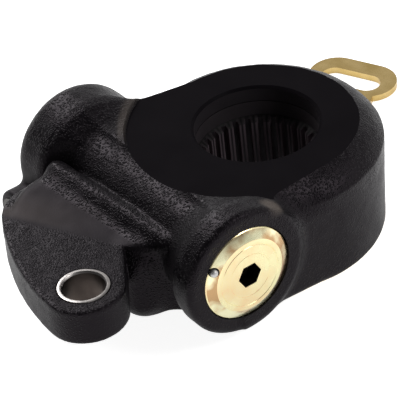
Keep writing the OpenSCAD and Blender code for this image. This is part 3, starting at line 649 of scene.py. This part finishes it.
def return_spring(finish):
    """Rack's return spring; its coils are spaced so that they stay apart when the rack comes home."""
    coil_r, wire_r, turns, steps, sides = 4.8, 0.6, 4, 24, 8
    low, high = [corner[1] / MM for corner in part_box("rack_spring")]
    t = np.linspace(0, 1, 400)
    free = (high - low) * t
    packed = free - RACK_TRAVEL * t * t * (3 - 2 * t)
    even = np.linspace(packed[0] + wire_r, packed[-1] - wire_r, turns * steps + 1)
    heights = np.interp(even, packed, free)
    reach = (high - low - 2 * wire_r) / (heights[-1] - heights[0])
    heights = low + wire_r + (heights - heights[0]) * reach
    vertices, faces = [], []
    for k, h in enumerate(heights):
        a = 2 * math.pi * k / steps
        for b in np.arange(sides) * 2 * math.pi / sides:
            r = coil_r + wire_r * math.cos(b)
            point = (r * math.cos(a), r * math.sin(a), h + wire_r * math.sin(b))
            vertices.append(ON_RACK @ Vector(point))
    for k in range(turns * steps):
        for i in range(sides):
            j = (i + 1) % sides
            faces.append((k * sides + i, k * sides + j, (k + 1) * sides + j, (k + 1) * sides + i))
    last = turns * steps * sides
    faces += [tuple(range(sides))[::-1], tuple(range(last, last + sides))]
    spring = new_piece("return_spring", vertices, faces)
    spring.data.materials.append(finish)
    crisp(spring, 60)
    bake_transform(spring)
    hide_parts("rack_spring")


# ---- Materials ----

def node_group(name, inputs, outputs):
    group = bpy.data.node_groups.new(name, "ShaderNodeTree")
    for label, kind, value in inputs:
        socket = group.interface.new_socket(label, in_out="INPUT", socket_type=kind)
        socket.default_value = value
    for label, kind in outputs:
        group.interface.new_socket(label, in_out="OUTPUT", socket_type=kind)
    return group, group.nodes.new("NodeGroupInput"), group.nodes.new("NodeGroupOutput")


def add(tree, kind, **settings):
    """A node with its settings."""
    item = tree.nodes.new(kind)
    for key, value in settings.items():
        setattr(item, key, value)
    return item


def feed(tree, socket, value):
    """Links the value into a socket, or sets it there if it is a plain number or colour."""
    if hasattr(value, "links"):
        tree.links.new(value, socket)
    else:
        socket.default_value = value


def noise(tree, vector, scale, detail=2.0):
    item = add(tree, "ShaderNodeTexNoise")
    for label, value in (("Vector", vector), ("Scale", scale), ("Detail", detail)):
        feed(tree, item.inputs[label], value)
    return item.outputs["Fac"]


def math_node(tree, operation, a, b=0.0):
    item = add(tree, "ShaderNodeMath", operation=operation)
    for socket, value in zip(item.inputs, (a, b)):
        feed(tree, socket, value)
    return item.outputs[0]


def times(tree, a, b):
    return math_node(tree, "MULTIPLY", a, b)


def spread(tree, value, low, high, new_low=0.0, new_high=1.0, way="LINEAR"):
    item = add(tree, "ShaderNodeMapRange", clamp=True, interpolation_type=way)
    labels = ("Value", "From Min", "From Max", "To Min", "To Max")
    for label, v in zip(labels, (value, low, high, new_low, new_high)):
        feed(tree, item.inputs[label], v)
    return item.outputs["Result"]


def mixed(tree, factor, a, b):
    item = add(tree, "ShaderNodeMix", data_type="RGBA")
    sockets = {socket.name: socket for socket in item.inputs if socket.enabled}
    feed(tree, sockets["Factor"], factor)
    for label, colour in (("A", a), ("B", b)):
        feed(tree, sockets[label], colour if hasattr(colour, "links") else (*colour, 1))
    return next(socket for socket in item.outputs if socket.enabled)


def sand_grain_group():
    """Grain of a sand casting under paint: pimples of mixed height over slow waves."""
    group, given, out = node_group(
        "sand_grain",
        [("Grain per metre", "NodeSocketFloat", 900.0), ("Waves per metre", "NodeSocketFloat", 120.0)],
        [("Height", "NodeSocketFloat"), ("Tone", "NodeSocketFloat")],
    )
    place = add(group, "ShaderNodeTexCoord").outputs["Object"]
    cells = add(group, "ShaderNodeTexVoronoi", feature="F1")
    group.links.new(place, cells.inputs["Vector"])
    group.links.new(given.outputs["Grain per metre"], cells.inputs["Scale"])
    dome = spread(group, cells.outputs["Distance"], 0.05, 0.6, 1.0, 0.0, "SMOOTHSTEP")
    wave = noise(group, place, given.outputs["Waves per metre"])
    raised = times(group, dome, spread(group, cells.outputs["Color"], 0.3, 0.7, 0.3, 1.0))
    height = math_node(group, "ADD", raised, times(group, wave, 0.8))
    group.links.new(height, out.inputs["Height"])
    group.links.new(spread(group, wave, 0.3, 0.7), out.inputs["Tone"])
    return group


def uneven_finish_group():
    """What every real finish has: slow clouds of tone and fine specks."""
    group, given, out = node_group(
        "uneven_finish",
        [("Clouds per metre", "NodeSocketFloat", 80.0), ("Specks per metre", "NodeSocketFloat", 3000.0)],
        [("Tone", "NodeSocketFloat"), ("Specks", "NodeSocketFloat")],
    )
    place = add(group, "ShaderNodeTexCoord").outputs["Object"]
    group.links.new(noise(group, place, given.outputs["Clouds per metre"], 3.0), out.inputs["Tone"])
    group.links.new(noise(group, place, given.outputs["Specks per metre"], 2.0), out.inputs["Specks"])
    return group


def painted_upward_shade_group():
    """Mask of the faces that look up, where painted shade darkens them."""
    group, given, out = node_group(
        "painted_upward_shade", [("Cover", "NodeSocketFloat", 0.85)], [("Mask", "NodeSocketFloat")]
    )
    way = add(group, "ShaderNodeSeparateXYZ")
    group.links.new(add(group, "ShaderNodeNewGeometry").outputs["Normal"], way.inputs[0])
    mask = spread(group, way.outputs["Z"], 0.3, 0.8, 0.0, given.outputs["Cover"])
    group.links.new(mask, out.inputs["Mask"])
    return group


def placed(tree, group, **values):
    """A group in a material, with its inputs by name."""
    item = add(tree, "ShaderNodeGroup", node_tree=group)
    for label, value in values.items():
        item.inputs[label.replace("_", " ")].default_value = value
    return item


def new_material(name):
    material = bpy.data.materials.new(name)
    material.use_nodes = True
    tree = material.node_tree
    tree.nodes.clear()
    shader = tree.nodes.new("ShaderNodeBsdfPrincipled")
    surface = tree.nodes.new("ShaderNodeOutputMaterial")
    tree.links.new(shader.outputs["BSDF"], surface.inputs["Surface"])
    return material, tree, shader


def bumped(tree, shader, height, strength, distance):
    bump = add(tree, "ShaderNodeBump")
    bump.inputs["Strength"].default_value = strength
    bump.inputs["Distance"].default_value = distance
    tree.links.new(height, bump.inputs["Height"])
    tree.links.new(bump.outputs["Normal"], shader.inputs["Normal"])


sand_grain = sand_grain_group()
uneven_finish = uneven_finish_group()
painted_upward_shade = painted_upward_shade_group()
# Pale colour of the painted light on the casting
PAINTED_LIGHT = (0.115, 0.097, 0.084)
# Near-black of the painted shade on faces that look up
UPWARD_SHADE_COLOUR = (0.002, 0.002, 0.002)
SPECK_HEIGHT = 0.00005


def painted_casting():
    """Black paint over the sand skin, with painted light mixed in as pale patches where it looks lit."""
    material, tree, shader = new_material("painted_casting")
    coarse = add(tree, "ShaderNodeAttribute", attribute_name="grain").outputs["Fac"]
    painted_light = add(tree, "ShaderNodeAttribute", attribute_name="painted_light").outputs["Fac"]
    grain = placed(tree, sand_grain, Grain_per_metre=1250.0, Waves_per_metre=170.0)
    tone = grain.outputs["Tone"]
    black = mixed(tree, tone, (0.0042, 0.0036, 0.0047), (0.0066, 0.0056, 0.0070))
    # Painted light: the pale patches are mixed over the black paint.
    feed(tree, shader.inputs["Base Color"], mixed(tree, painted_light, black, PAINTED_LIGHT))
    gloss = spread(tree, coarse, 0.05, 0.6, 0.48, 0.33)
    worn = spread(tree, tone, 0, 1, 0.0, 0.08)
    feed(tree, shader.inputs["Roughness"], math_node(tree, "ADD", gloss, worn))
    shader.inputs["Specular IOR Level"].default_value = 0.15
    shader.inputs["Specular Tint"].default_value = (1.0, 0.84, 0.96, 1)
    bumped(tree, shader, times(tree, grain.outputs["Height"], coarse), 1.0, 0.00042)
    return material


def machined_paint():
    """Thin matt paint on the machined face."""
    material, tree, shader = new_material("machined_paint")
    finish = placed(tree, uneven_finish, Clouds_per_metre=60.0, Specks_per_metre=2500.0)
    tone = finish.outputs["Tone"]
    black = mixed(tree, tone, (0.0064, 0.0053, 0.0067), (0.0094, 0.0079, 0.0097))
    feed(tree, shader.inputs["Base Color"], black)
    feed(tree, shader.inputs["Roughness"], spread(tree, tone, 0.3, 0.7, 0.3, 0.42))
    shader.inputs["Specular IOR Level"].default_value = 0.01
    bumped(tree, shader, finish.outputs["Specks"], 0.15, SPECK_HEIGHT)
    return material


def bored_iron():
    """Bare iron of the bores, with painted shade darkening the faces that look up."""
    material, tree, shader = new_material("bored_iron")
    tone = placed(tree, uneven_finish, Clouds_per_metre=80.0).outputs["Tone"]
    shade_on_top = placed(tree, painted_upward_shade, Cover=0.85).outputs["Mask"]
    iron = mixed(tree, tone, (0.021, 0.018, 0.021), (0.036, 0.031, 0.035))
    # Painted shade: faces that look up go near-black.
    feed(tree, shader.inputs["Base Color"], mixed(tree, shade_on_top, iron, UPWARD_SHADE_COLOUR))
    feed(tree, shader.inputs["Roughness"], spread(tree, tone, 0.3, 0.7, 0.3, 0.5))
    shader.inputs["Specular IOR Level"].default_value = 0.08
    return material


def spline_with_painted_highlights():
    """Oily iron of the worm wheel; the spline's tooth edges carry painted highlights, and faces that look
    up carry painted shade.
    """
    material, tree, shader = new_material("spline_with_painted_highlights")
    place = add(tree, "ShaderNodeTexCoord").outputs["Object"]
    height = add(tree, "ShaderNodeSeparateXYZ")
    tree.links.new(place, height.inputs[0])
    turn = add(tree, "ShaderNodeTexGradient", gradient_type="RADIAL")
    tree.links.new(place, turn.inputs["Vector"])
    along = math_node(tree, "FRACT", times(tree, turn.outputs["Fac"], SPLINE_TEETH))
    from_land = math_node(tree, "ABSOLUTE", math_node(tree, "SUBTRACT", along, 0.5))
    # Painted highlights: bright stripes along the spline's tooth edges.
    edge = times(
        tree, spread(tree, from_land, 0.04, 0.13), spread(tree, from_land, 0.25, 0.38, 1, 0)
    )
    tone = placed(tree, uneven_finish, Clouds_per_metre=80.0).outputs["Tone"]
    shade_on_top = placed(tree, painted_upward_shade, Cover=0.85).outputs["Mask"]
    iron = mixed(tree, tone, (0.027, 0.023, 0.026), (0.044, 0.037, 0.041))
    tooth = mixed(tree, edge, (0.020, 0.016, 0.019), (0.130, 0.102, 0.115))
    top = SPLINE_TOP * MM
    splined = spread(tree, height.outputs["Z"], top - 0.0005, top, 1, 0)
    # Painted shade: faces that look up go near-black.
    colour = mixed(tree, shade_on_top, mixed(tree, splined, iron, tooth), UPWARD_SHADE_COLOUR)
    feed(tree, shader.inputs["Base Color"], colour)
    feed(tree, shader.inputs["Roughness"], spread(tree, tone, 0.3, 0.7, 0.4, 0.55))
    shader.inputs["Specular IOR Level"].default_value = 0.1
    return material


def metal(name, low_colour, high_colour, rough, clouds, tones=(0.3, 0.7)):
    """Metal between two colours and two roughnesses, in so many clouds a metre."""
    material, tree, shader = new_material(name)
    finish = placed(tree, uneven_finish, Clouds_per_metre=clouds, Specks_per_metre=3000.0)
    tone = finish.outputs["Tone"]
    shader.inputs["Metallic"].default_value = 1.0
    colour = mixed(tree, spread(tree, tone, *tones), low_colour, high_colour)
    feed(tree, shader.inputs["Base Color"], colour)
    feed(tree, shader.inputs["Roughness"], spread(tree, tone, 0.3, 0.7, *rough))
    bumped(tree, shader, finish.outputs["Specks"], 0.03, SPECK_HEIGHT)
    return material


def nitrile_rubber():
    material, tree, shader = new_material("nitrile_rubber")
    tone = placed(tree, uneven_finish, Clouds_per_metre=200.0).outputs["Tone"]
    black = mixed(tree, tone, (0.012, 0.012, 0.012), (0.024, 0.023, 0.022))
    feed(tree, shader.inputs["Base Color"], black)
    feed(tree, shader.inputs["Roughness"], spread(tree, tone, 0.3, 0.7, 0.55, 0.7))
    return material


yellow_zinc = metal(
    "yellow_zinc", (0.96, 0.71, 0.40), (0.98, 0.94, 0.56), rough=(0.2, 0.3), clouds=110.0
)
# Painted reflections: brown and near-white patches on the cap's bevel stand in for reflections.
zinc_with_painted_reflections = metal(
    "zinc_with_painted_reflections", (0.54, 0.34, 0.17), (0.99, 0.95, 0.62),
    rough=(0.16, 0.24), clouds=76.0, tones=(0.42, 0.53),
)
aged_zinc = metal(
    "aged_zinc", (0.57, 0.40, 0.14), (0.73, 0.54, 0.24), rough=(0.18, 0.26), clouds=120.0
)
bare_steel = metal(
    "bare_steel", (0.33, 0.31, 0.30), (0.48, 0.45, 0.43), rough=(0.26, 0.38), clouds=200.0
)
phosphated_steel = metal(
    "phosphated_steel", (0.06, 0.055, 0.052), (0.11, 0.105, 0.1), rough=(0.35, 0.5), clouds=160.0
)
satin_ball = metal(
    "satin_ball", (0.62, 0.61, 0.61), (0.82, 0.81, 0.80), rough=(0.5, 0.6), clouds=400.0
)
# Dark brown of the bush's bore: an oily film, and painted shade inside the bore.
bore_oil_and_shade = metal(
    "bore_oil_and_shade", (0.036, 0.029, 0.026), (0.095, 0.076, 0.066), rough=(0.28, 0.4), clouds=120.0
)
# Painted shade: near-black in the hexagon socket and the lock ball's seat.
socket_painted_shade = metal(
    "socket_painted_shade", (0.010, 0.008, 0.006), (0.03, 0.024, 0.016), rough=(0.4, 0.6), clouds=500.0
)

cast_body([painted_casting(), machined_paint(), bored_iron()])
plated_cap(yellow_zinc, socket_painted_shade, zinc_with_painted_reflections)
steel_bush(bare_steel, bore_oil_and_shade)
return_spring(bare_steel)

slot_finishes = {
    "zinc_yellow": yellow_zinc,
    "plain_steel": bare_steel,
    "dark_steel": phosphated_steel,
    "seal_rubber": nitrile_rubber(),
}
node_finishes = {
    row["node"]: slot_finishes[row["material_slot"]]
    for row in frame["record"]["subparts"] if row["material_slot"] in slot_finishes
}
node_finishes.update(worm_wheel=spline_with_painted_highlights(), control_arm=aged_zinc, cap_lock_ball=satin_ball)
for name, finish in node_finishes.items():
    nodes[name].data.materials.clear()
    nodes[name].data.materials.append(finish)
weld = nodes["worm_wheel"].modifiers.new("weld", "WELD")
weld.merge_threshold = 1e-6
ease = nodes["worm_wheel"].modifiers.new("eased_edges", "BEVEL")
ease.width, ease.segments = 0.00045, 2
ease.limit_method, ease.angle_limit = "ANGLE", math.radians(40)


# ---- Camera, floor and light ----

def photo_camera():
    """The photo's camera, solved from the rims of the bore, the bush and the cap."""
    data = bpy.data.cameras.new("photo_camera")
    data.sensor_width = 36.0
    data.lens = 234.0
    data.clip_start, data.clip_end = 0.05, 20.0
    camera = bpy.data.objects.new("photo_camera", data)
    right, upward = (0.5939, 0.7994, -0.0906), (-0.4399, 0.4169, 0.7954)
    back, place = (0.6736, -0.4325, 0.5993), (0.66341, -0.45508, 0.58715)
    camera.matrix_world = Matrix([*zip(right, upward, back, place), (0, 0, 0, 1)])
    bpy.context.scene.collection.objects.link(camera)
    bpy.context.scene.camera = camera


def white_floor():
    """White to the camera and in reflections, and it keeps the object's shadow."""
    half = 3.0
    low = cad_box[0][2]
    corners = [(x * half, y * half, low) for x, y in ((-1, -1), (1, -1), (1, 1), (-1, 1))]
    floor = new_piece("floor", corners, [(0, 1, 2, 3)], 1.0)
    material, tree, shader = new_material("white_floor")
    place = add(tree, "ShaderNodeTexCoord").outputs["Object"]
    white = mixed(tree, noise(tree, place, 3.0), (0.86, 0.86, 0.86), (0.9, 0.9, 0.9))
    feed(tree, shader.inputs["Base Color"], white)
    shader.inputs["Roughness"].default_value = 0.9
    shader.inputs["Emission Color"].default_value = (1, 1, 1, 1)
    ray = add(tree, "ShaderNodeLightPath").outputs
    mirrored = math_node(tree, "MAXIMUM", ray["Is Glossy Ray"], ray["Is Transmission Ray"])
    shown = math_node(tree, "MAXIMUM", ray["Is Camera Ray"], times(tree, mirrored, 0.66))
    feed(tree, shader.inputs["Emission Strength"], times(tree, shown, 0.9))
    floor.data.materials.append(material)


def soft_lamp(name, place, side, power):
    """A square lamp that faces the origin."""
    data = bpy.data.lights.new(name, "AREA")
    data.shape = "SQUARE"
    data.size = side
    data.energy = power
    lamp = bpy.data.objects.new(name, data)
    lamp.location = place
    lamp.rotation_euler = (-Vector(place)).to_track_quat("-Z", "Y").to_euler()
    bpy.context.scene.collection.objects.link(lamp)


def studio_world():
    """A dark room with a pale sweep low behind the object and a pale card beyond the cap."""
    world = bpy.data.worlds.new("studio")
    bpy.context.scene.world = world
    world.use_nodes = True
    tree = world.node_tree
    way = add(tree, "ShaderNodeSeparateXYZ")
    tree.links.new(add(tree, "ShaderNodeTexCoord").outputs["Generated"], way.inputs[0])
    x, y, z = way.outputs
    behind = math_node(tree, "ADD", times(tree, x, -0.5), times(tree, y, 0.87))
    low = times(tree, spread(tree, z, 0.3, 0.85, 1, 0), spread(tree, z, 0, 0.35, 0.45, 1))
    sweep = times(tree, low, spread(tree, behind, -0.1, 0.15))
    card = times(tree, spread(tree, x, 0.7, 0.95, 0, 0.7), spread(tree, z, 0.15, 0.45, 1, 0))
    light = mixed(tree, math_node(tree, "MAXIMUM", sweep, card), (0.06, 0.06, 0.06), (1, 1, 1))
    feed(tree, tree.nodes["Background"].inputs["Color"], light)


photo_camera()
white_floor()
soft_lamp("key_light", (-0.87, -0.1, 1.09), side=0.55, power=8)
soft_lamp("side_light", (-1.19, 0.2, 0.73), side=0.3, power=3)
soft_lamp("fill_light", (0.9, 0.6, 1.0), side=0.5, power=5)
studio_world()
bpy.context.scene.view_settings.view_transform = "Standard"
